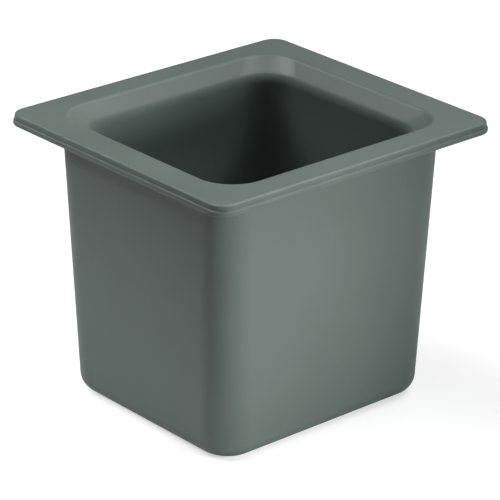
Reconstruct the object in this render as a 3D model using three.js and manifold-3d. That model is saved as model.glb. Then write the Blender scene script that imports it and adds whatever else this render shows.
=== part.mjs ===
// Double-walled cold food pan of one-sixth size, in millimetres, +Z up.
//
// The origin is on the surface that the pan stands on, under the middle of its rim. The long side
// of the rim runs along X.
//
// A liner, which is the well and the deck round it, and an outer shell are moulded apart. Their
// flanges lie on each other at the rim and are welded along a groove. The space between the walls
// holds a refrigerant gel, filled through a port in the base that a barbed plug closes.

import * as THREE from "three";
import { mergeVertices } from "three/addons/utils/BufferGeometryUtils.js";
import Module from "manifold-3d";

const wasm = await Module();
wasm.setup();

// Driving dimensions of the whole pan
const LENGTH = 176; // rim along X
const WIDTH = 161.5; // rim along Y
const HEIGHT = 146; // foot to deck
const RIM_CORNER = 9.5; // corner radius of the rim, seen from above
const FIT_GAP = 0.3; // left between pieces that lie against each other

// Liner: deck, lip, shoulder, wall and floor of the well, all of one thickness
const LINER_WALL = 2.5;
const LINER_SET_BACK = 0.7; // the liner's flange ends this far inside the shell's
const DECK_EDGE_ROUND = 1.2;
const DECK_UNDERSIDE_CHAMFER = 0.4;
const OPENING_LENGTH = 144.4; // inner edge of the flat deck, along X
const OPENING_WIDTH = 132.9; // the same along Y
const OPENING_CORNER = 21;
const LIP_ROUND = 3; // from the deck over into the shoulder
const SHOULDER_SLOPE = 45; // degrees below the deck
const SHOULDER_INSET = 9.7; // opening's edge to the top of the well's wall
const SHOULDER_ROUND = 8; // from the shoulder into the wall
const WELL_DRAFT = 2; // degrees
const WELL_FLOOR = 15.5; // height of the well's floor
const WELL_FLOOR_ROUND = 12;
const WELL_CORNER_TOP = 18;
const WELL_CORNER_BOTTOM = 20;

// Outer shell: flange, body, base with its foot, and the port's boss
const SHELL_WALL = 2.3;
const SHELL_FLANGE = 2.9; // thickness
const FLANGE_TOP_ROUND = 1.2;
const FLANGE_BOTTOM_ROUND = 0.9;
const FLANGE_ROOT_ROUND = 1.5; // between the flange's underside and the body
const BODY_INSET_TOP = 15; // rim's edge to the body, at the flange
const BODY_INSET_BOTTOM = 20; // the same at the foot, before the edge is rounded
const BODY_CORNER_TOP = 17;
const BODY_CORNER_BOTTOM = 18;
const BASE_ROUND = 9;
const FOOT_WIDTH = 5;
const FOOT_STEP = 1; // the base inside the foot is this much higher than the foot
const SHELL_FLOOR_ROUND = 7; // inside, between wall and floor

// Weld between the flanges
const GROOVE_INSET = 4.5; // rim's edge to the middle of the groove
const GROOVE_WIDTH = 3;
const GROOVE_DEPTH = 1.4;

// Filling port and its plug, in the middle of the base
const PLUG_HEAD_RADIUS = 10;
const PLUG_HEAD_THICKNESS = 1.3;
const PLUG_HEAD_CHAMFER = 0.4;
const PLUG_STEM_RADIUS = 6;
const PLUG_BARB_RADIUS = 6.9;
const PLUG_TIP_RADIUS = 5.2;
const PLUG_BARB_LENGTH = 2.4;
const PLUG_SOCKET_RADIUS = 3.4; // six-sided socket for the driving tool, across its corners
const PLUG_SOCKET_DEPTH = 2;
const BOSS_RADIUS = 13;
const BOSS_HEIGHT = 3; // above the shell's floor

// Steps round the curves
const CORNER_STEPS = 7;
const ROUND_STEPS = 4;
const CIRCLE_STEPS = 40;

// Worked out from the dimensions above
const RIM = { x: LENGTH / 2, y: WIDTH / 2 };
const OPENING = { x: OPENING_LENGTH / 2, y: OPENING_WIDTH / 2 };
const DECK_UNDERSIDE = HEIGHT - LINER_WALL;
const FLANGE_TOP = DECK_UNDERSIDE - FIT_GAP;
const FLANGE_UNDERSIDE = FLANGE_TOP - SHELL_FLANGE;
const SHELL_FLOOR = FOOT_STEP + SHELL_WALL;
const BODY_DRAFT = THREE.MathUtils.radToDeg(
  Math.atan((BODY_INSET_BOTTOM - BODY_INSET_TOP) / FLANGE_UNDERSIDE),
);

const plastic = { color: 0x6b7974, roughness: 0.45, metalness: 0 };
const gel = { color: 0x9fc4d6, roughness: 0.3, metalness: 0 };
const plugPlastic = { color: 0x4f5a56, roughness: 0.5, metalness: 0 };

const cosine = (degrees) => Math.cos(THREE.MathUtils.degToRad(degrees));
const sine = (degrees) => Math.sin(THREE.MathUtils.degToRad(degrees));
const tangent = (degrees) => Math.tan(THREE.MathUtils.degToRad(degrees));

// One level of a wall is a rounded rectangle: its sides lie inset inside the sides of a reference
// rectangle, at height z, and its corners have the radius corner.
function level(reference, inset, z, corner) {
  return { x: reference.x - inset, y: reference.y - inset, z, corner };
}

// Levels over a round edge. The angle is seen in section, with 0 pointing into the pan and 90 up.
// The corner radius changes with the inset, so that the edge keeps its radius round the corners.
function roundEdge(reference, centre, radius, from, to) {
  const levels = [];
  for (let step = 0; step <= ROUND_STEPS; step++) {
    const angle = THREE.MathUtils.lerp(from, to, step / ROUND_STEPS);
    const inward = radius * cosine(angle);
    const z = centre.z + radius * sine(angle);
    levels.push(level(reference, centre.inset + inward, z, centre.corner - inward));
  }
  return levels;
}

// The points of a level, anticlockwise from above.
function levelPoints({ x, y, z, corner }) {
  const points = [];
  const centres = [
    [x - corner, y - corner],
    [corner - x, y - corner],
    [corner - x, corner - y],
    [x - corner, corner - y],
  ];
  centres.forEach(([centreX, centreY], quarter) => {
    for (let step = 0; step <= CORNER_STEPS; step++) {
      const angle = 90 * (quarter + step / CORNER_STEPS);
      points.push([centreX + corner * cosine(angle), centreY + corner * sine(angle), z]);
    }
  });
  return points;
}

// A closed surface through levels that run outward from below and back inward from above. With
// closed ends the first and last level are flat faces, otherwise the last joins the first.
function loft(levels, closedEnds) {
  const rings = levels.map(levelPoints);
  const size = rings[0].length;
  const positions = rings.flat(2);
  const triangles = [];
  const bands = closedEnds ? rings.length - 1 : rings.length;
  for (let band = 0; band < bands; band++) {
    const lower = band * size;
    const upper = ((band + 1) % rings.length) * size;
    for (let place = 0; place < size; place++) {
      const next = (place + 1) % size;
      triangles.push(lower + place, lower + next, upper + next);
      triangles.push(lower + place, upper + next, upper + place);
    }
  }
  if (closedEnds) {
    const last = (rings.length - 1) * size;
    const middle = rings.length * size;
    positions.push(0, 0, levels[0].z, 0, 0, levels[levels.length - 1].z);
    for (let place = 0; place < size; place++) {
      const next = (place + 1) % size;
      triangles.push(middle, next, place);
      triangles.push(middle + 1, last + place, last + next);
    }
  }
  const geometry = new THREE.BufferGeometry();
  geometry.setAttribute("position", new THREE.Float32BufferAttribute(positions, 3));
  geometry.setIndex(triangles);
  return geometry;
}

// A turned solid from a profile of [radius, height] points that starts and ends on the axis.
function turned(profile) {
  const points = profile.map(([radius, height]) => new THREE.Vector2(radius, height));
  return new THREE.LatheGeometry(points, CIRCLE_STEPS).rotateX(Math.PI / 2);
}

function cylinder(radius, bottom, top, sides = CIRCLE_STEPS) {
  return new THREE.CylinderGeometry(radius, radius, top - bottom, sides)
    .rotateX(Math.PI / 2)
    .translate(0, 0, (top + bottom) / 2);
}

function toSolid(geometry) {
  const bare = geometry.clone();
  bare.deleteAttribute("normal");
  bare.deleteAttribute("uv");
  const merged = mergeVertices(bare, 1e-4);
  const vertProperties = Float32Array.from(merged.attributes.position.array);
  const triVerts = Uint32Array.from(merged.index.array);
  return new wasm.Manifold(new wasm.Mesh({ numProp: 3, vertProperties, triVerts }));
}

function toGeometry(solid) {
  const { vertProperties, triVerts } = solid.getMesh();
  const geometry = new THREE.BufferGeometry();
  geometry.setAttribute("position", new THREE.BufferAttribute(vertProperties, 3));
  geometry.setIndex(new THREE.BufferAttribute(triVerts, 1));
  return geometry;
}

// The lip, shoulder, wall and floor round of the well, from the deck down to the floor's edge.
// behind is the distance behind the visible surface, so the same path serves for the liner's back.
function wellLevels(behind) {
  const lip = { inset: 0, z: HEIGHT - LIP_ROUND, corner: OPENING_CORNER };
  const slopeTop = 90 - SHOULDER_SLOPE;
  const shoulderInset = SHOULDER_INSET - SHOULDER_ROUND;
  const slopeRun = shoulderInset + (SHOULDER_ROUND - LIP_ROUND) * cosine(slopeTop);
  const shoulder = {
    inset: shoulderInset,
    z: lip.z - slopeRun * tangent(SHOULDER_SLOPE) - (SHOULDER_ROUND - LIP_ROUND) * sine(slopeTop),
    corner: WELL_CORNER_TOP + SHOULDER_ROUND,
  };
  const wallHeight = shoulder.z - WELL_FLOOR - WELL_FLOOR_ROUND;
  const floor = {
    inset: SHOULDER_INSET + wallHeight * tangent(WELL_DRAFT) + WELL_FLOOR_ROUND,
    z: WELL_FLOOR + WELL_FLOOR_ROUND,
    corner: WELL_CORNER_BOTTOM - WELL_FLOOR_ROUND,
  };
  return {
    lip: roundEdge(OPENING, lip, LIP_ROUND - behind, 90, slopeTop),
    shoulder: roundEdge(OPENING, shoulder, SHOULDER_ROUND - behind, slopeTop, WELL_DRAFT),
    floor: roundEdge(OPENING, floor, WELL_FLOOR_ROUND + behind, 180 + WELL_DRAFT, 270),
  };
}

function innerLiner() {
  const back = wellLevels(LINER_WALL);
  const front = wellLevels(0);
  const edge = LINER_SET_BACK;
  const chamfer = DECK_UNDERSIDE_CHAMFER;
  const deckEdge = {
    inset: edge + DECK_EDGE_ROUND,
    z: HEIGHT - DECK_EDGE_ROUND,
    corner: RIM_CORNER - edge - DECK_EDGE_ROUND,
  };
  return loft(
    [
      ...[...back.lip, ...back.shoulder, ...back.floor].reverse(),
      level(RIM, edge + chamfer, DECK_UNDERSIDE, RIM_CORNER - edge - chamfer),
      level(RIM, edge, DECK_UNDERSIDE + chamfer, RIM_CORNER - edge),
      ...roundEdge(RIM, deckEdge, DECK_EDGE_ROUND, 180, 90),
      ...front.lip,
      ...front.shoulder,
      ...front.floor,
    ],
    true,
  );
}

// The body's outer surface before its edges are rounded: inset and corner radius at a height.
function bodyAt(z) {
  const share = z / FLANGE_UNDERSIDE;
  return {
    inset: THREE.MathUtils.lerp(BODY_INSET_BOTTOM, BODY_INSET_TOP, share),
    corner: THREE.MathUtils.lerp(BODY_CORNER_BOTTOM, BODY_CORNER_TOP, share),
  };
}

// The base from the raised panel out over the foot and up round the edge.
function baseLevels() {
  const body = bodyAt(BASE_ROUND);
  const edge = {
    inset: body.inset + BASE_ROUND,
    z: BASE_ROUND,
    corner: body.corner - BASE_ROUND,
  };
  const footInset = edge.inset + FOOT_WIDTH;
  const footCorner = edge.corner - FOOT_WIDTH;
  return [
    level(RIM, footInset + FOOT_STEP, FOOT_STEP, footCorner - FOOT_STEP),
    level(RIM, footInset, 0, footCorner),
    ...roundEdge(RIM, edge, BASE_ROUND, 270, 180 + BODY_DRAFT),
  ];
}

// The shell's flange, from the root under it round its edge to the weld groove and its inner edge.
function flangeLevels() {
  const body = bodyAt(FLANGE_UNDERSIDE);
  const root = {
    inset: body.inset - FLANGE_ROOT_ROUND,
    z: FLANGE_UNDERSIDE - FLANGE_ROOT_ROUND,
    corner: body.corner + FLANGE_ROOT_ROUND,
  };
  const bottomEdge = {
    inset: FLANGE_BOTTOM_ROUND,
    z: FLANGE_UNDERSIDE + FLANGE_BOTTOM_ROUND,
    corner: RIM_CORNER - FLANGE_BOTTOM_ROUND,
  };
  const topEdge = {
    inset: FLANGE_TOP_ROUND,
    z: FLANGE_TOP - FLANGE_TOP_ROUND,
    corner: RIM_CORNER - FLANGE_TOP_ROUND,
  };
  const grooveOuter = GROOVE_INSET - GROOVE_WIDTH / 2;
  const grooveInner = GROOVE_INSET + GROOVE_WIDTH / 2;
  const grooveFloor = FLANGE_TOP - GROOVE_DEPTH;
  const seat = body.inset + SHELL_WALL - SHELL_FLANGE;
  const seatCorner = body.corner - SHELL_WALL + SHELL_FLANGE;
  return [
    ...roundEdge(RIM, root, FLANGE_ROOT_ROUND, 0, 90),
    ...roundEdge(RIM, bottomEdge, FLANGE_BOTTOM_ROUND, 270, 180),
    ...roundEdge(RIM, topEdge, FLANGE_TOP_ROUND, 180, 90),
    level(RIM, grooveOuter, FLANGE_TOP, RIM_CORNER - grooveOuter),
    level(RIM, grooveOuter, grooveFloor, RIM_CORNER - grooveOuter),
    level(RIM, grooveInner, grooveFloor, RIM_CORNER - grooveInner),
    level(RIM, grooveInner, FLANGE_TOP, RIM_CORNER - grooveInner),
    level(RIM, seat, FLANGE_TOP, seatCorner),
  ];
}

// The inside of the shell from a height down to the floor's edge, moved inward by clearance.
function shellInsideLevels(top, clearance) {
  const upper = bodyAt(top);
  const lower = bodyAt(SHELL_FLOOR + SHELL_FLOOR_ROUND);
  const wall = SHELL_WALL + clearance;
  const floor = {
    inset: lower.inset + SHELL_WALL + SHELL_FLOOR_ROUND,
    z: SHELL_FLOOR + SHELL_FLOOR_ROUND,
    corner: lower.corner - SHELL_WALL - SHELL_FLOOR_ROUND,
  };
  return [
    level(RIM, upper.inset + wall, top, upper.corner - wall),
    ...roundEdge(RIM, floor, SHELL_FLOOR_ROUND - clearance, 180 + BODY_DRAFT, 270),
  ];
}

function outerShell() {
  const inside = shellInsideLevels(FLANGE_UNDERSIDE, 0);
  const cup = toSolid(loft([...baseLevels(), ...flangeLevels(), ...inside], true));
  const boss = toSolid(cylinder(BOSS_RADIUS, SHELL_FLOOR - SHELL_WALL / 2, SHELL_FLOOR + BOSS_HEIGHT));
  const counterboreTop = FOOT_STEP + PLUG_HEAD_THICKNESS + FIT_GAP;
  const counterbore = toSolid(cylinder(PLUG_HEAD_RADIUS + FIT_GAP, -1, counterboreTop));
  const port = toSolid(cylinder(PLUG_STEM_RADIUS + FIT_GAP, 0, SHELL_FLOOR + BOSS_HEIGHT + 1));
  return toGeometry(cup.add(boss).subtract(counterbore).subtract(port));
}

// Height at which the shoulder has turned into the well's wall, where the gel's surface stands.
function gelSurface() {
  return wellLevels(0).shoulder[ROUND_STEPS].z;
}

function refrigerantGel() {
  const outside = shellInsideLevels(gelSurface(), FIT_GAP);
  const linerSide = wellLevels(LINER_WALL + FIT_GAP);
  const wallTop = { ...linerSide.shoulder[ROUND_STEPS], z: gelSurface() };
  const block = toSolid(loft([...outside.reverse(), wallTop, ...linerSide.floor], true));
  const bossTop = SHELL_FLOOR + BOSS_HEIGHT;
  const plugTop = bossTop + FIT_GAP + PLUG_BARB_LENGTH;
  const roundBoss = toSolid(cylinder(BOSS_RADIUS + FIT_GAP, 0, bossTop + FIT_GAP));
  const roundPlug = toSolid(cylinder(PLUG_BARB_RADIUS + FIT_GAP, 0, plugTop + FIT_GAP));
  return toGeometry(block.subtract(roundBoss).subtract(roundPlug));
}

// The bead lies in the groove, clear of its sides and floor and of the liner above it.
function seamWeld() {
  const outer = GROOVE_INSET - GROOVE_WIDTH / 2 + FIT_GAP;
  const inner = GROOVE_INSET + GROOVE_WIDTH / 2 - FIT_GAP;
  const bottom = FLANGE_TOP - GROOVE_DEPTH + FIT_GAP;
  return loft(
    [
      level(RIM, inner, bottom, RIM_CORNER - inner),
      level(RIM, outer, bottom, RIM_CORNER - outer),
      level(RIM, outer, FLANGE_TOP, RIM_CORNER - outer),
      level(RIM, inner, FLANGE_TOP, RIM_CORNER - inner),
    ],
    false,
  );
}

function fillPlug() {
  const headTop = FOOT_STEP + PLUG_HEAD_THICKNESS;
  const barbBottom = SHELL_FLOOR + BOSS_HEIGHT + FIT_GAP;
  const barbTop = barbBottom + PLUG_BARB_LENGTH;
  const body = turned([
    [0, FOOT_STEP],
    [PLUG_HEAD_RADIUS - PLUG_HEAD_CHAMFER, FOOT_STEP],
    [PLUG_HEAD_RADIUS, FOOT_STEP + PLUG_HEAD_CHAMFER],
    [PLUG_HEAD_RADIUS, headTop],
    [PLUG_STEM_RADIUS, headTop],
    [PLUG_STEM_RADIUS, barbBottom],
    [PLUG_BARB_RADIUS, barbBottom],
    [PLUG_TIP_RADIUS, barbTop],
    [0, barbTop],
  ]);
  const socket = cylinder(PLUG_SOCKET_RADIUS, 0, FOOT_STEP + PLUG_SOCKET_DEPTH, 6);
  return toGeometry(toSolid(body).subtract(toSolid(socket)));
}

function piece(name, geometry, look) {
  const mesh = new THREE.Mesh(geometry, new THREE.MeshStandardMaterial(look));
  mesh.name = name;
  return mesh;
}

const foodPan = new THREE.Group();
foodPan.add(piece("inner_liner", innerLiner(), plastic));
foodPan.add(piece("outer_shell", outerShell(), plastic));
foodPan.add(piece("refrigerant_gel", refrigerantGel(), gel));
foodPan.add(piece("seam_weld", seamWeld(), plastic));
foodPan.add(piece("fill_plug", fillPlug(), plugPlastic));

export default foodPan;
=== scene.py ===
import math
from collections import namedtuple

import bpy
from mathutils import Matrix, Vector


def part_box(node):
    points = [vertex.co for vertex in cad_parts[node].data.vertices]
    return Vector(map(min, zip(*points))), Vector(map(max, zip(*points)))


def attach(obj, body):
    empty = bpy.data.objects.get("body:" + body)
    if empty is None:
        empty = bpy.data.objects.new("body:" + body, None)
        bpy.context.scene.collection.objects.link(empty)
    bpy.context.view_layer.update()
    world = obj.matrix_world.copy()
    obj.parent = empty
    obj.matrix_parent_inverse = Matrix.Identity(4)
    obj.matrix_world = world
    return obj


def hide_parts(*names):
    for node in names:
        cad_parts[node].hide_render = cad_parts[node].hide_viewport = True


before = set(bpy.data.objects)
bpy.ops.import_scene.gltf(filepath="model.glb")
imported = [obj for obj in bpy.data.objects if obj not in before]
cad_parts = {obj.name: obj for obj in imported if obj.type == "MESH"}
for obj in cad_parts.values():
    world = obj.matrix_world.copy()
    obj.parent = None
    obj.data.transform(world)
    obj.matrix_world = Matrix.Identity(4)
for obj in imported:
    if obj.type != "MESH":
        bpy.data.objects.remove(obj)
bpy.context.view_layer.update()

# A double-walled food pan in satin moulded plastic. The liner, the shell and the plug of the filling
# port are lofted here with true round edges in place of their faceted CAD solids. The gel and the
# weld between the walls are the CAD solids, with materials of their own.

MM = 0.001

# Taken from the frame
LINER_LOW, LINER_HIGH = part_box("inner_liner")
_, SHELL_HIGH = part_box("outer_shell")
PLUG_LOW, PLUG_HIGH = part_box("fill_plug")
DECK = LINER_HIGH.z
LINER_RIM = (LINER_HIGH.x, LINER_HIGH.y)
RIM = (SHELL_HIGH.x, SHELL_HIGH.y)
FLANGE_TOP = SHELL_HIGH.z
BASE_PANEL = PLUG_LOW.z
PLUG_RADIUS = PLUG_HIGH.x

# Rim and liner
FIT_GAP = 0.3 * MM
LINER_WALL = 2.5 * MM
RIM_CORNER = 9.5 * MM
DECK_EDGE_ROUND = 1.2 * MM
DECK_UNDERSIDE_ROUND = 0.2 * MM
OPENING = (72.2 * MM, 66.45 * MM)
OPENING_CORNER = 21 * MM
LIP_ROUND = 3 * MM
SHOULDER_SLOPE = 45
SHOULDER_INSET = 9.7 * MM
SHOULDER_ROUND = 8 * MM
WELL_DRAFT = 2
WELL_FLOOR = LINER_LOW.z + LINER_WALL
WELL_FLOOR_ROUND = 12 * MM
WELL_CORNER_TOP = 18 * MM
WELL_CORNER_BOTTOM = 20 * MM

# Shell
SHELL_WALL = 2.3 * MM
SHELL_FLANGE = 2.9 * MM
FLANGE_UNDERSIDE = FLANGE_TOP - SHELL_FLANGE
FLANGE_TOP_ROUND = 1.2 * MM
FLANGE_BOTTOM_ROUND = 0.9 * MM
FLANGE_ROOT_ROUND = 1.5 * MM
BODY_INSET_TOP = 15 * MM
BODY_INSET_BOTTOM = 20 * MM
BODY_CORNER_TOP = 17 * MM
BODY_CORNER_BOTTOM = 18 * MM
BODY_DRAFT = math.degrees(math.atan((BODY_INSET_BOTTOM - BODY_INSET_TOP) / FLANGE_UNDERSIDE))
BASE_ROUND = 9 * MM
FOOT_WIDTH = 5 * MM
FOOT_EDGE_ROUND = 0.4 * MM
FOOT_SLOPE = 45  # from the base panel down to the foot
SHELL_FLOOR = BASE_PANEL + SHELL_WALL
SHELL_FLOOR_ROUND = 7 * MM
GROOVE_INSET = 4.5 * MM
GROOVE_WIDTH = 3 * MM
GROOVE_DEPTH = 1.4 * MM
SEAM_GAP = 0.06 * MM  # between the two flanges
GEL_CLEARANCE = 0.2 * MM  # by which the liner's hidden back is nearer its face
WALL_BOW = 0.3 * MM

# Filling port and plug
PLUG_HEAD = 1.3 * MM
PLUG_EDGE_ROUND = 0.4 * MM
PLUG_STEM_RADIUS = 6 * MM
PLUG_BARB_RADIUS = 6.9 * MM
PLUG_TIP_RADIUS = 5.2 * MM
PLUG_BARB_LENGTH = 2.4 * MM
SOCKET_RADIUS = 3.4 * MM
SOCKET_DEPTH = 2 * MM
SOCKET_MIDDLE = 1 * MM
BOSS_RADIUS = 13 * MM
BOSS_HEIGHT = 3 * MM
BOSS_EDGE_ROUND = 0.5 * MM

# Steps round the curves and along the faces
CORNER_STEPS = 20
SIDE_STEPS = 12
ROUND_STEPS = 10
SLOPE_STEPS = 4
WALL_STEPS = 24
DECK_STEPS = 4
DECK_EDGE_STEPS = 8
DECK_UNDERSIDE_STEPS = 4
FLOOR_STEPS = 6
HIDDEN_FLOOR_STEPS = 2
FLANGE_TOP_STEPS = 8
FLANGE_BOTTOM_STEPS = 6
FLANGE_ROOT_STEPS = 6
BASE_STEPS = 16
FOOT_EDGE_STEPS = 3
PLUG_STEPS = 96
PLUG_EDGE_STEPS = 5

# The innermost level of a floor
FLOOR_MIDDLE = 6 * MM
FLOOR_MIDDLE_CORNER = 4 * MM

# How much an edge is rubbed in use, where 1 is the most. The paleness this gives is wear, and on the
# deck's and flange's rounded top edges it is also a painted highlight.
DECK_WEAR_AND_HIGHLIGHT = 1.0
FLANGE_TOP_WEAR_AND_HIGHLIGHT = 1.0
FLANGE_BOTTOM_WEAR = 0.6
BASE_WEAR = 0.5
FOOT_WEAR = 1.0

# Directions seen in section, in degrees
INWARD = 0
UPWARD = 90
OUTWARD = 180
DOWNWARD = 270

Level = namedtuple("Level", "x y z corner wear bow", defaults=(0.0, 0.0))
Edge = namedtuple("Edge", "inset z corner")


def level(outline, inset, z, corner, wear=0.0, bow=0.0):
    """A rounded rectangle at height z whose sides lie inset inside an outline."""
    return Level(outline[0] - inset, outline[1] - inset, z, corner, wear, bow)


def cosine(degrees):
    return math.cos(math.radians(degrees))


def sine(degrees):
    return math.sin(math.radians(degrees))


def tangent(degrees):
    return math.tan(math.radians(degrees))


def mix(low, high, share):
    return low + (high - low) * share


def hump(share):
    """Rises from 0 to 1 and falls back to 0, level at both ends and in the middle."""
    return math.sin(math.pi * share) ** 2


def round_edge(outline, centre, radius, start, end, wear=0.0, steps=ROUND_STEPS):
    """Levels over a round edge, from one direction seen in section to another."""
    levels = []
    for step in range(steps + 1):
        share = step / steps
        angle = mix(start, end, share)
        inward = radius * cosine(angle)
        z = centre.z + radius * sine(angle)
        # Wear peaks midway round the edge; on the deck's and flange's top edges its paleness is also a
        # painted highlight.
        worn_and_highlit = wear * math.sin(math.pi * share)
        levels.append(level(outline, centre.inset + inward, z, centre.corner - inward, worn_and_highlit))
    return levels


def between(lower, upper, steps, bow=0.0):
    """The levels that divide the wall from one level to another, its middle drawn in by bow."""
    levels = []
    for step in range(1, steps):
        share = step / steps
        fields = [mix(a, b, share) for a, b in zip(lower, upper)]
        levels.append(Level(*fields)._replace(bow=bow * hump(share)))
    return levels


def level_points(one):
    """The points round a level, anticlockwise from above, with steps along its sides as well."""
    half_x = one.x - one.corner
    half_y = one.y - one.corner
    centres = [(half_x, half_y), (-half_x, half_y), (-half_x, -half_y), (half_x, -half_y)]
    corners = []
    for quarter, (x, y) in enumerate(centres):
        turns = [90 * (quarter + step / CORNER_STEPS) for step in range(CORNER_STEPS + 1)]
        arc = [(x + one.corner * cosine(turn), y + one.corner * sine(turn)) for turn in turns]
        corners.append(arc)
    points = []
    for quarter, arc in enumerate(corners):
        points += [Vector((x, y, one.z)) for x, y in arc]
        first = Vector((*arc[-1], one.z))
        last = Vector((*corners[(quarter + 1) % 4][0], one.z))
        for step in range(1, SIDE_STEPS):
            share = step / SIDE_STEPS
            point = first.lerp(last, share)
            inward = -Vector((cosine(90 * (quarter + 1)), sine(90 * (quarter + 1)), 0))
            points.append(point + inward * one.bow * hump(share))
    return points


def circle_points(radius, z, count=PLUG_STEPS, start=0.0):
    turns = [start + 360 * step / count for step in range(count)]
    return [Vector((radius * cosine(turn), radius * sine(turn), z)) for turn in turns]


def circle_inside(points, radius, z):
    """A circle of evenly spaced points, one for each point of the level that lies round it."""
    half_corner = 180 * CORNER_STEPS / len(points)
    return circle_points(radius, z, len(points), 45 - half_corner)


def loft(name, rings, wear=None, closed_ends=True):
    """A closed mesh through rings of points that run outward from below and back in from above."""
    size = len(rings[0])
    vertices = [point for ring in rings for point in ring]
    faces = []
    bands = len(rings) - 1 if closed_ends else len(rings)
    for band in range(bands):
        lower = band * size
        upper = (band + 1) % len(rings) * size
        for place in range(size):
            following = (place + 1) % size
            faces.append((lower + place, lower + following, upper + following, upper + place))
    if closed_ends:
        last = (len(rings) - 1) * size
        faces.append(tuple(reversed(range(size))))
        faces.append(tuple(range(last, last + size)))
    mesh = bpy.data.meshes.new(name)
    mesh.from_pydata(vertices, [], faces)
    mesh.shade_smooth()
    worn_and_highlit = mesh.attributes.new("wear", "FLOAT", "POINT")
    if wear:
        worn_and_highlit.data.foreach_set("value", [share for share in wear for _ in range(size)])
    piece = bpy.data.objects.new(name, mesh)
    bpy.context.scene.collection.objects.link(piece)
    piece.modifiers.new("flat faces stay flat", "WEIGHTED_NORMAL")
    return piece


def loft_levels(name, levels):
    return loft(name, [level_points(one) for one in levels], [one.wear for one in levels])


# Pieces

def well_levels(behind, wear=0.0):
    """Lip, shoulder, wall and floor round of the well at a distance behind the visible surface."""
    lip = Edge(0, DECK - LIP_ROUND, OPENING_CORNER)
    slope_top = UPWARD - SHOULDER_SLOPE
    shoulder_inset = SHOULDER_INSET - SHOULDER_ROUND
    growth = SHOULDER_ROUND - LIP_ROUND
    slope_run = shoulder_inset + growth * cosine(slope_top)
    shoulder_z = lip.z - slope_run * tangent(SHOULDER_SLOPE) - growth * sine(slope_top)
    shoulder = Edge(shoulder_inset, shoulder_z, WELL_CORNER_TOP + SHOULDER_ROUND)
    wall_height = shoulder_z - WELL_FLOOR - WELL_FLOOR_ROUND
    floor = Edge(
        SHOULDER_INSET + wall_height * tangent(WELL_DRAFT) + WELL_FLOOR_ROUND,
        WELL_FLOOR + WELL_FLOOR_ROUND,
        WELL_CORNER_BOTTOM - WELL_FLOOR_ROUND,
    )
    lip_levels = round_edge(OPENING, lip, LIP_ROUND - behind, UPWARD, slope_top, wear)
    shoulder_levels = round_edge(OPENING, shoulder, SHOULDER_ROUND - behind, slope_top, WELL_DRAFT)
    floor_start = OUTWARD + WELL_DRAFT
    floor_round = round_edge(OPENING, floor, WELL_FLOOR_ROUND + behind, floor_start, DOWNWARD)
    return [
        *lip_levels,
        *between(lip_levels[-1], shoulder_levels[0], SLOPE_STEPS),
        *shoulder_levels,
        *between(shoulder_levels[-1], floor_round[0], WALL_STEPS),
        *floor_round,
    ]


def floor_levels(edge, steps):
    """Levels from the edge of a flat floor to near its middle."""
    middle = Level(edge.x - edge.y + FLOOR_MIDDLE, FLOOR_MIDDLE, edge.z, FLOOR_MIDDLE_CORNER)
    return [*between(edge, middle, steps), middle]


def inner_liner():
    back = well_levels(LINER_WALL - GEL_CLEARANCE)
    front = well_levels(0, DECK_WEAR_AND_HIGHLIGHT)
    underside = FLANGE_TOP + SEAM_GAP
    lower = DECK_UNDERSIDE_ROUND
    upper = DECK_EDGE_ROUND
    corner = RIM_CORNER - (RIM[0] - LINER_RIM[0])
    lower_edge = Edge(lower, underside + lower, corner - lower)
    upper_edge = Edge(upper, DECK - upper, corner - upper)
    rim = [
        *round_edge(LINER_RIM, lower_edge, lower, DOWNWARD, OUTWARD, steps=DECK_UNDERSIDE_STEPS),
        *round_edge(LINER_RIM, upper_edge, upper, OUTWARD, UPWARD, DECK_WEAR_AND_HIGHLIGHT, DECK_EDGE_STEPS),
    ]
    levels = [
        *reversed([*back, *floor_levels(back[-1], HIDDEN_FLOOR_STEPS)]),
        *rim,
        *between(rim[-1], front[0], DECK_STEPS),
        *front,
        *floor_levels(front[-1], FLOOR_STEPS),
    ]
    return loft_levels("liner", levels)


def body_at(z):
    """Inset and corner radius of the body's outer surface at a height, before its edges are rounded."""
    share = z / FLANGE_UNDERSIDE
    inset = mix(BODY_INSET_BOTTOM, BODY_INSET_TOP, share)
    return inset, mix(BODY_CORNER_BOTTOM, BODY_CORNER_TOP, share)


def outer_levels():
    """The shell's outside, from the edge of the base panel over the foot and up to the flange."""
    inset, corner = body_at(BASE_ROUND)
    base = Edge(inset + BASE_ROUND, BASE_ROUND, corner - BASE_ROUND)
    foot = Edge(base.inset + FOOT_WIDTH, 0, base.corner - FOOT_WIDTH)
    foot_edge = Edge(foot.inset, FOOT_EDGE_ROUND, foot.corner)
    inset, corner = body_at(FLANGE_UNDERSIDE)
    root_round = FLANGE_ROOT_ROUND
    root = Edge(inset - root_round, FLANGE_UNDERSIDE - root_round, corner + root_round)
    slope_run = BASE_PANEL / tangent(FOOT_SLOPE)
    panel = level(RIM, foot.inset + slope_run, BASE_PANEL, foot.corner - slope_run)
    wall = OUTWARD + BODY_DRAFT
    base_edge = round_edge(RIM, base, BASE_ROUND, DOWNWARD, wall, BASE_WEAR, BASE_STEPS)
    root_edge = round_edge(RIM, root, root_round, INWARD, UPWARD, steps=FLANGE_ROOT_STEPS)
    slope = DOWNWARD + FOOT_SLOPE
    return [
        panel,
        *round_edge(RIM, foot_edge, FOOT_EDGE_ROUND, slope, DOWNWARD, FOOT_WEAR, FOOT_EDGE_STEPS),
        *base_edge,
        *between(base_edge[-1], root_edge[0], WALL_STEPS, WALL_BOW),
        *root_edge,
    ]


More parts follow.
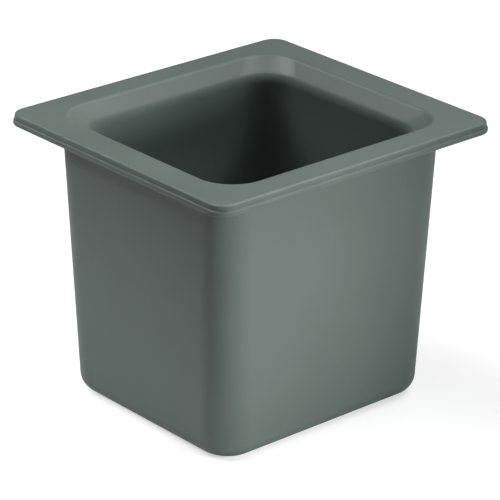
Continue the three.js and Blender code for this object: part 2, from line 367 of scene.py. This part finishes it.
def flange_levels():
    """The shell's flange from its underside round its edge, over the weld groove to its seat."""
    inset, corner = body_at(FLANGE_UNDERSIDE)
    bottom, top = FLANGE_BOTTOM_ROUND, FLANGE_TOP_ROUND
    bottom_edge = Edge(bottom, FLANGE_UNDERSIDE + bottom, RIM_CORNER - bottom)
    top_edge = Edge(top, FLANGE_TOP - top, RIM_CORNER - top)
    outer = GROOVE_INSET - GROOVE_WIDTH / 2
    inner = GROOVE_INSET + GROOVE_WIDTH / 2
    groove = FLANGE_TOP - GROOVE_DEPTH
    drop = SHELL_FLANGE
    return [
        *round_edge(
            RIM, bottom_edge, bottom, DOWNWARD, OUTWARD, FLANGE_BOTTOM_WEAR, FLANGE_BOTTOM_STEPS
        ),
        *round_edge(RIM, top_edge, top, OUTWARD, UPWARD, FLANGE_TOP_WEAR_AND_HIGHLIGHT, FLANGE_TOP_STEPS),
        level(RIM, outer, FLANGE_TOP, RIM_CORNER - outer),
        level(RIM, outer, groove, RIM_CORNER - outer),
        level(RIM, inner, groove, RIM_CORNER - inner),
        level(RIM, inner, FLANGE_TOP, RIM_CORNER - inner),
        level(RIM, inset + SHELL_WALL - drop, FLANGE_TOP, corner - SHELL_WALL + drop),
    ]


def shell_inside_levels():
    inset, corner = body_at(FLANGE_UNDERSIDE)
    top = level(RIM, inset + SHELL_WALL, FLANGE_UNDERSIDE, corner - SHELL_WALL)
    inset, corner = body_at(SHELL_FLOOR + SHELL_FLOOR_ROUND)
    floor = Edge(
        inset + SHELL_WALL + SHELL_FLOOR_ROUND,
        SHELL_FLOOR + SHELL_FLOOR_ROUND,
        corner - SHELL_WALL - SHELL_FLOOR_ROUND,
    )
    return [top, *round_edge(RIM, floor, SHELL_FLOOR_ROUND, OUTWARD + BODY_DRAFT, DOWNWARD)]


def outer_shell():
    levels = [*outer_levels(), *flange_levels(), *shell_inside_levels()]
    rings = [level_points(one) for one in levels]
    counterbore = BASE_PANEL + PLUG_HEAD + FIT_GAP
    boss_top = SHELL_FLOOR + BOSS_HEIGHT
    port = [
        (PLUG_STEM_RADIUS + FIT_GAP, boss_top),
        (PLUG_STEM_RADIUS + FIT_GAP, counterbore),
        (PLUG_RADIUS + FIT_GAP, counterbore),
        (PLUG_RADIUS + FIT_GAP, BASE_PANEL + FIT_GAP),
        (PLUG_RADIUS + 2 * FIT_GAP, BASE_PANEL),
        (2 * PLUG_RADIUS, BASE_PANEL),
    ]
    boss = [
        (BOSS_RADIUS, SHELL_FLOOR),
        (BOSS_RADIUS, boss_top - BOSS_EDGE_ROUND),
        (BOSS_RADIUS - BOSS_EDGE_ROUND, boss_top),
    ]
    port_rings = [circle_inside(rings[0], radius, z) for radius, z in port]
    boss_rings = [circle_inside(rings[-1], radius, z) for radius, z in boss]
    wear = [0.0] * len(port) + [one.wear for one in levels] + [0.0] * len(boss)
    return loft("shell", [*port_rings, *rings, *boss_rings], wear, closed_ends=False)


def hexagon_facing(points, radius, z):
    """A hexagon across its corners, whose points lie on the bearings of the given ones."""
    ring = []
    for point in points:
        bearing = math.degrees(math.atan2(point.y, point.x))
        reach = radius * cosine(30) / cosine((bearing + 360) % 60 - 30)
        ring.append(Vector((reach * cosine(bearing), reach * sine(bearing), z)))
    return ring


def fill_plug():
    edge = PLUG_EDGE_ROUND
    head_top = PLUG_LOW.z + PLUG_HEAD
    barb_bottom = PLUG_HIGH.z - PLUG_BARB_LENGTH
    turns = [90 * step / PLUG_EDGE_STEPS for step in range(PLUG_EDGE_STEPS + 1)]
    rounded = [
        (PLUG_RADIUS - edge + edge * sine(turn), PLUG_LOW.z + edge - edge * cosine(turn))
        for turn in turns
    ]
    profile = [
        *rounded,
        (PLUG_RADIUS, head_top),
        (PLUG_STEM_RADIUS, head_top),
        (PLUG_STEM_RADIUS, barb_bottom),
        (PLUG_BARB_RADIUS, barb_bottom),
        (PLUG_TIP_RADIUS, PLUG_HIGH.z),
    ]
    rings = [circle_points(radius, z) for radius, z in profile]
    socket = [
        circle_points(SOCKET_MIDDLE, PLUG_LOW.z + SOCKET_DEPTH),
        hexagon_facing(rings[0], SOCKET_RADIUS, PLUG_LOW.z + SOCKET_DEPTH),
        hexagon_facing(rings[0], SOCKET_RADIUS, PLUG_LOW.z + edge / 2),
        hexagon_facing(rings[0], SOCKET_RADIUS + edge / 2, PLUG_LOW.z),
    ]
    return loft("plug", [*socket, *rings])


# Materials

# A band is the range of a noise's value over which a feature fades in.
PAN_COLOUR = (0.105, 0.133, 0.121)
PLUG_COLOUR = (0.06, 0.078, 0.07)
PAN_ROUGHNESS = 0.46
WELD_ROUGHNESS = 0.38
PLUG_ROUGHNESS = 0.34
PLASTIC_IOR = 1.5

MOTTLE_SIZE = 45 * MM
MOTTLE_DETAIL = 4
MOTTLE_BAND = (0.3, 0.7)
MOTTLE_DARKEST = 0.94
MOTTLE_PALEST = 1.06
MOTTLE_ROUGHNESS = 0.05

GRAIN_SIZE = 0.45 * MM
GRAIN_DETAIL = 2
GRAIN_BAND = (0.35, 0.65)
GRAIN_PALENESS = 1.6
GRAIN_SHARE = 0.08
GRAIN_HEIGHT = 0.05 * MM

WAVE_SIZE = 30 * MM
WALL_WAVES = 0.25 * MM
WELD_WAVES = 1 * MM

RUB_SIZE = 12 * MM
RUB_DETAIL = 5
RUB_BAND = (0.42, 0.62)
LEAST_RUB = 0.2
RUB_AND_HIGHLIGHT_PALENESS = 2.2
RUB_AND_HIGHLIGHT_SHARE = 0.16
RUB_SMOOTHING = 0.07

MARK_PALENESS = 2.4
MARK_SHARE = 0.22
MARK_ROUGHNESS = 0.1
MARK_HEIGHT = -0.02 * MM

SCRATCH_TURNS = (12, 57, 98, 151)
SCRATCH_WIDTH = 0.6 * MM
SCRATCH_STRETCH = (60, 1, 1)
SCRATCH_BAND = (0.7, 0.76)
SCRATCH_FULL_BELOW = WELL_FLOOR + 2 * MM
SCRATCH_NONE_ABOVE = WELL_FLOOR + 10 * MM
UPRIGHT_WIDTH = 0.7 * MM
UPRIGHT_STRETCH = (1, 1, 50)
UPRIGHT_BAND = (0.71, 0.77)
UPRIGHT_MOST = 0.7
UPRIGHT_FULL_BELOW = WELL_FLOOR + 20 * MM
UPRIGHT_NONE_ABOVE = DECK - SHOULDER_INSET
SCRATCH_PATCH_SIZE = 30 * MM
SCRATCH_PATCH_BAND = (0.42, 0.6)
SCRATCH_PATCH_LEAST = 0.15

STREAK_WIDTH = 1.2 * MM
STREAK_STRETCH = (1, 1, 40)
STREAK_DETAIL = 2
STREAK_BAND = (0.56, 0.72)
STREAK_SHARE = 0.25
STREAK_PATCH_SIZE = 25 * MM
STREAK_PATCH_BAND = (0.45, 0.65)

RIPPLE_SIZE = 1.6 * MM
RIPPLE_BAND = (0.4, 0.65)
RIPPLE_MOST = 0.5

GEL_DARK = (0.28, 0.5, 0.62)
GEL_PALE = (0.5, 0.7, 0.78)
GEL_BUBBLE = (0.75, 0.86, 0.9)
GEL_ROUGHNESS = (0.15, 0.3)
GEL_TRANSMISSION = 0.35
GEL_IOR = 1.34
CLOUD_SIZE = 8 * MM
CLOUD_DETAIL = 5
CLOUD_BAND = (0.35, 0.65)
CLOUD_HEIGHT = 0.6 * MM
BUBBLE_SIZE = 2 * MM
BUBBLE_BAND = (0.68, 0.74)
BUBBLE_HEIGHT = 0.1 * MM

# Blender's mix node has sockets for numbers, vectors and colours; these are the colour ones.
MIX_COLOUR_INPUTS = (6, 7)
MIX_COLOUR_OUTPUT = 2


class Nodes:
    """A short way to add nodes to one material and link them."""

    def __init__(self, name):
        self.material = bpy.data.materials.new(name)
        self.material.use_nodes = True
        self.tree = self.material.node_tree
        self.tree.nodes.clear()
        self.shader = self.add("ShaderNodeBsdfPrincipled")
        output = self.add("ShaderNodeOutputMaterial")
        self.link(self.shader.outputs["BSDF"], output.inputs["Surface"])
        self.place = self.add("ShaderNodeTexCoord").outputs["Object"]

    def add(self, kind, **settings):
        node = self.tree.nodes.new(kind)
        for name, value in settings.items():
            setattr(node, name, value)
        return node

    def link(self, source, target):
        self.tree.links.new(source, target)

    def noise(self, size, detail=3.0, stretch=(1, 1, 1), turn=0):
        """Noise whose features are about size metres across, drawn out along turned axes."""
        mapping = self.add("ShaderNodeMapping", vector_type="TEXTURE")
        mapping.inputs["Scale"].default_value = stretch
        mapping.inputs["Rotation"].default_value = (0, 0, math.radians(turn))
        self.link(self.place, mapping.inputs["Vector"])
        noise = self.add("ShaderNodeTexNoise")
        noise.inputs["Scale"].default_value = 1 / size
        noise.inputs["Detail"].default_value = detail
        self.link(mapping.outputs["Vector"], noise.inputs["Vector"])
        return noise.outputs["Fac"]

    def height(self):
        axes = self.add("ShaderNodeSeparateXYZ")
        self.link(self.place, axes.inputs["Vector"])
        return axes.outputs["Z"]

    def spread(self, value, low, high, band=(0.0, 1.0)):
        """Runs from low to high while the value crosses the band, and stops at both ends."""
        node = self.add("ShaderNodeMapRange")
        node.inputs["From Min"].default_value = band[0]
        node.inputs["From Max"].default_value = band[1]
        node.inputs["To Min"].default_value = low
        node.inputs["To Max"].default_value = high
        self.link(value, node.inputs["Value"])
        return node.outputs["Result"]

    def combine(self, operation, first, second):
        node = self.add("ShaderNodeMath", operation=operation)
        for socket, value in zip(node.inputs, (first, second)):
            if isinstance(value, (int, float)):
                socket.default_value = value
            else:
                self.link(value, socket)
        return node.outputs["Value"]

    def blend(self, share, first, second):
        """A colour between two colours."""
        node = self.add("ShaderNodeMix", data_type="RGBA")
        self.link(share, node.inputs["Factor"])
        for index, value in zip(MIX_COLOUR_INPUTS, (first, second)):
            if isinstance(value, tuple):
                node.inputs[index].default_value = (*value, 1)
            else:
                self.link(value, node.inputs[index])
        return node.outputs[MIX_COLOUR_OUTPUT]

    def bump(self, height, distance, below=None):
        node = self.add("ShaderNodeBump")
        node.inputs["Distance"].default_value = distance
        self.link(height, node.inputs["Height"])
        if below is not None:
            self.link(below, node.inputs["Normal"])
        return node.outputs["Normal"]


def scaled(colour, factor):
    return tuple(channel * factor for channel in colour)


def floor_scratches(nodes):
    """Fine crossed scratches that fade out just above the well's floor."""
    share = nodes.spread(nodes.height(), 1, 0, (SCRATCH_FULL_BELOW, SCRATCH_NONE_ABOVE))
    marks = 0.0
    for turn in SCRATCH_TURNS:
        lines = nodes.noise(SCRATCH_WIDTH, detail=0, stretch=SCRATCH_STRETCH, turn=turn)
        thin = nodes.combine("MULTIPLY", nodes.spread(lines, 0, 1, SCRATCH_BAND), share)
        marks = nodes.combine("MAXIMUM", thin, marks)
    return marks


def wall_scratches(nodes):
    """Upright scratches that fade out towards the top of the well."""
    share = nodes.spread(nodes.height(), 1, 0, (UPRIGHT_FULL_BELOW, UPRIGHT_NONE_ABOVE))
    lines = nodes.noise(UPRIGHT_WIDTH, detail=0, stretch=UPRIGHT_STRETCH)
    return nodes.combine("MULTIPLY", nodes.spread(lines, 0, UPRIGHT_MOST, UPRIGHT_BAND), share)


def utensil_scratches(nodes):
    """The scratches that spoons leave in the well, in patches."""
    marks = nodes.combine("MAXIMUM", wall_scratches(nodes), floor_scratches(nodes))
    patches = nodes.noise(SCRATCH_PATCH_SIZE)
    return nodes.combine(
        "MULTIPLY", marks, nodes.spread(patches, SCRATCH_PATCH_LEAST, 1, SCRATCH_PATCH_BAND)
    )


def rub_streaks(nodes):
    """Faint upright streaks on the outside, where the pan slides in and out of its place."""
    lines = nodes.noise(STREAK_WIDTH, STREAK_DETAIL, STREAK_STRETCH)
    streaks = nodes.spread(lines, 0, 1, STREAK_BAND)
    patches = nodes.spread(nodes.noise(STREAK_PATCH_SIZE), 0, 1, STREAK_PATCH_BAND)
    return nodes.combine("MULTIPLY", streaks, nodes.combine("MULTIPLY", patches, STREAK_SHARE))


def weld_ripples(nodes):
    """The close ripples of a weld bead."""
    return nodes.spread(nodes.noise(RIPPLE_SIZE, detail=1), 0, RIPPLE_MOST, RIPPLE_BAND)


def plastic_colour(nodes, colour, mottle, grain, rubbed_and_highlit):
    """The plastic's colour with flow mottling and pale grain, and paler still where it is rubbed, which
    on the deck's and flange's rounded top edges is also a painted highlight.
    """
    mottled = nodes.blend(
        nodes.spread(mottle, 0, 1, MOTTLE_BAND),
        scaled(colour, MOTTLE_DARKEST),
        scaled(colour, MOTTLE_PALEST),
    )
    speckles = nodes.spread(grain, 0, GRAIN_SHARE, GRAIN_BAND)
    speckled = nodes.blend(speckles, mottled, scaled(colour, GRAIN_PALENESS))
    # Paler where rubbed: wear, and on the rim's rounded top edges also a painted highlight.
    share = nodes.combine("MULTIPLY", rubbed_and_highlit, RUB_AND_HIGHLIGHT_SHARE)
    return nodes.blend(share, speckled, scaled(colour, RUB_AND_HIGHLIGHT_PALENESS))


def moulded_plastic(name, colour, roughness, marks=None, waves=WALL_WAVES):
    """Satin moulded plastic: faint flow mottling, fine grain, pale marks, and edges rubbed smoother and
    paler, the paleness on the deck's and flange's rounded top edges also a painted highlight.
    """
    nodes = Nodes(name)
    mottle = nodes.noise(MOTTLE_SIZE, MOTTLE_DETAIL)
    grain = nodes.noise(GRAIN_SIZE, GRAIN_DETAIL)
    # Per-vertex wear, which also places the painted highlight along the rim's rounded top edges.
    wear = nodes.add("ShaderNodeAttribute", attribute_name="wear").outputs["Fac"]
    patches = nodes.spread(nodes.noise(RUB_SIZE, RUB_DETAIL), LEAST_RUB, 1, RUB_BAND)
    rubbed_and_highlit = nodes.combine("MULTIPLY", wear, patches)
    tint = plastic_colour(nodes, colour, mottle, grain, rubbed_and_highlit)
    smoothest = roughness - MOTTLE_ROUGHNESS
    rough = nodes.spread(mottle, smoothest, roughness + MOTTLE_ROUGHNESS, MOTTLE_BAND)
    rough = nodes.combine("SUBTRACT", rough, nodes.combine("MULTIPLY", rubbed_and_highlit, RUB_SMOOTHING))
    wavy = nodes.bump(nodes.noise(WAVE_SIZE, detail=1), waves)
    surface = nodes.bump(grain, GRAIN_HEIGHT, below=wavy)
    if marks:
        marked = marks(nodes)
        share = nodes.combine("MULTIPLY", marked, MARK_SHARE)
        tint = nodes.blend(share, tint, scaled(colour, MARK_PALENESS))
        rough = nodes.combine("ADD", rough, nodes.combine("MULTIPLY", marked, MARK_ROUGHNESS))
        surface = nodes.bump(marked, MARK_HEIGHT, below=surface)
    nodes.link(tint, nodes.shader.inputs["Base Color"])
    nodes.link(rough, nodes.shader.inputs["Roughness"])
    nodes.link(surface, nodes.shader.inputs["Normal"])
    nodes.shader.inputs["IOR"].default_value = PLASTIC_IOR
    return nodes.material


def gel_material():
    """A cloudy pale blue gel with denser patches and small trapped bubbles."""
    nodes = Nodes("cold gel")
    cloud = nodes.noise(CLOUD_SIZE, CLOUD_DETAIL)
    bubbles = nodes.spread(nodes.noise(BUBBLE_SIZE, detail=0), 0, 1, BUBBLE_BAND)
    tint = nodes.blend(nodes.spread(cloud, 0, 1, CLOUD_BAND), GEL_DARK, GEL_PALE)
    bubbly = nodes.blend(bubbles, tint, GEL_BUBBLE)
    nodes.link(bubbly, nodes.shader.inputs["Base Color"])
    nodes.link(nodes.spread(cloud, *GEL_ROUGHNESS), nodes.shader.inputs["Roughness"])
    skin = nodes.bump(cloud, CLOUD_HEIGHT)
    nodes.link(nodes.bump(bubbles, BUBBLE_HEIGHT, below=skin), nodes.shader.inputs["Normal"])
    nodes.shader.inputs["Transmission Weight"].default_value = GEL_TRANSMISSION
    nodes.shader.inputs["IOR"].default_value = GEL_IOR
    return nodes.material


def dress(piece, material):
    piece.data.materials.clear()
    piece.data.materials.append(material)


# Studio

FLOOR_SIDE = 30.0
FLOOR_COLOUR = (0.6, 0.6, 0.6)
FLOOR_ROUGHNESS = 0.8
FLOOR_LIFT = 0.55
FLOOR_GAP = 0.1 * MM  # below the foot
WHITE = (1, 1, 1, 1)
MIDDLE = Vector((0, 0, DECK / 2))
BOX_DISTANCE = 3.0
BOX_SIDE = 1.7
SPOT_DISTANCE = 0.9
SPOT_RADIUS = 0.1
CAMERA_AZIMUTH = -41.25
CAMERA_ELEVATION = 23.48
CAMERA_DISTANCE = 1.496
CAMERA_LENS = 217.4
CAMERA_SENSOR = 36
CAMERA_ROLL = 0.61
AIM_RIGHT = 0.5 * MM
AIM_UP = 1.9 * MM


def towards(azimuth, elevation):
    """The direction from the pan to something round it; azimuth 0 is in front, where y is negative."""
    flat = cosine(elevation)
    return Vector((sine(azimuth) * flat, -cosine(azimuth) * flat, sine(elevation)))


def camera():
    """A long lens from above the pan's near left corner."""
    back = towards(CAMERA_AZIMUTH, CAMERA_ELEVATION)
    right = Vector((0, 0, 1)).cross(back).normalized()
    up = back.cross(right)
    place = MIDDLE + back * CAMERA_DISTANCE
    aim = MIDDLE + right * AIM_RIGHT + up * AIM_UP
    made = bpy.data.objects.new("camera", bpy.data.cameras.new("camera"))
    made.location = place
    look = (aim - place).to_track_quat("-Z", "Y").to_matrix()
    roll = look.to_4x4() @ Matrix.Rotation(math.radians(CAMERA_ROLL), 4, "Z")
    made.rotation_euler = roll.to_euler()
    made.data.lens = CAMERA_LENS
    made.data.sensor_width = CAMERA_SENSOR
    bpy.context.scene.collection.objects.link(made)
    bpy.context.scene.camera = made


def floor():
    """A pale floor, lifted to near white where the camera sees it; the lift adds no light to the pan."""
    mesh = bpy.data.meshes.new("floor")
    half = FLOOR_SIDE / 2
    corners = [(-half, -half, 0), (half, -half, 0), (half, half, 0), (-half, half, 0)]
    mesh.from_pydata(corners, [], [(0, 1, 2, 3)])
    mesh.transform(Matrix.Translation((0, 0, -FLOOR_GAP)))
    plane = bpy.data.objects.new("floor", mesh)
    bpy.context.scene.collection.objects.link(plane)
    nodes = Nodes("pale floor")
    seen = nodes.add("ShaderNodeLightPath").outputs["Is Camera Ray"]
    lift = nodes.combine("MULTIPLY", seen, FLOOR_LIFT)
    nodes.link(lift, nodes.shader.inputs["Emission Strength"])
    nodes.shader.inputs["Emission Color"].default_value = WHITE
    nodes.shader.inputs["Base Color"].default_value = (*FLOOR_COLOUR, 1)
    nodes.shader.inputs["Roughness"].default_value = FLOOR_ROUGHNESS
    mesh.materials.append(nodes.material)


def aim_light(light, place, target, power):
    light.energy = power
    made = bpy.data.objects.new(light.name, light)
    made.location = place
    made.rotation_euler = (target - place).to_track_quat("-Z", "Y").to_euler()
    made.visible_camera = False
    bpy.context.scene.collection.objects.link(made)
    return made


def soft_box(name, azimuth, elevation, power):
    """A soft square light that faces the pan's middle."""
    light = bpy.data.lights.new(name, "AREA")
    light.shape = "SQUARE"
    light.size = BOX_SIDE
    aim_light(light, MIDDLE + towards(azimuth, elevation) * BOX_DISTANCE, MIDDLE, power)


def soft_spot(name, azimuth, elevation, target, cone, power):
    """A narrow light without glare, whose pool fades out evenly from its middle."""
    light = bpy.data.lights.new(name, "SPOT")
    light.spot_size = math.radians(cone)
    light.spot_blend = 1.0
    light.shadow_soft_size = SPOT_RADIUS
    place = MIDDLE + towards(azimuth, elevation) * SPOT_DISTANCE
    made = aim_light(light, place, Vector(target), power)
    made.visible_glossy = False


def backdrop():
    """White all round for the camera, which gives no light of its own."""
    world = bpy.data.worlds.new("backdrop")
    world.use_nodes = True
    tree = world.node_tree
    seen = tree.nodes.new("ShaderNodeLightPath").outputs["Is Camera Ray"]
    tree.nodes["Background"].inputs["Color"].default_value = WHITE
    tree.links.new(seen, tree.nodes["Background"].inputs["Strength"])
    bpy.context.scene.world = world


def studio():
    floor()
    camera()
    backdrop()
    key_target = (-0.05, -0.07, 0.032)
    low_key_target = (-0.045, -0.07, 0.138)
    left_target = (-0.075, 0.035, 0.03)
    soft_spot("key", azimuth=15, elevation=24, target=key_target, cone=12, power=60)
    soft_spot("low key", azimuth=15, elevation=12, target=low_key_target, cone=15, power=40)
    soft_spot("left", azimuth=-130, elevation=35, target=left_target, cone=15, power=28)
    soft_box("right", azimuth=60, elevation=60, power=43)
    soft_box("rim", azimuth=120, elevation=35, power=8.5)
    soft_box("behind", azimuth=-150, elevation=60, power=56)
    soft_box("overhead", azimuth=0, elevation=90, power=12)
    bpy.context.scene.view_settings.view_transform = "Standard"


liner_plastic = moulded_plastic("liner plastic", PAN_COLOUR, PAN_ROUGHNESS, utensil_scratches)
shell_plastic = moulded_plastic("shell plastic", PAN_COLOUR, PAN_ROUGHNESS, rub_streaks)
weld_plastic = moulded_plastic("weld plastic", PAN_COLOUR, WELD_ROUGHNESS, weld_ripples, WELD_WAVES)
plug_plastic = moulded_plastic("plug plastic", PLUG_COLOUR, PLUG_ROUGHNESS)

liner = inner_liner()
dress(liner, liner_plastic)
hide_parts("inner_liner")
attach(liner, "root")

shell = outer_shell()
dress(shell, shell_plastic)
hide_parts("outer_shell")
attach(shell, "root")

plug = fill_plug()
dress(plug, plug_plastic)
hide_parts("fill_plug")
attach(plug, "root")

dress(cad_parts["seam_weld"], weld_plastic)
dress(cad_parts["refrigerant_gel"], gel_material())

studio()
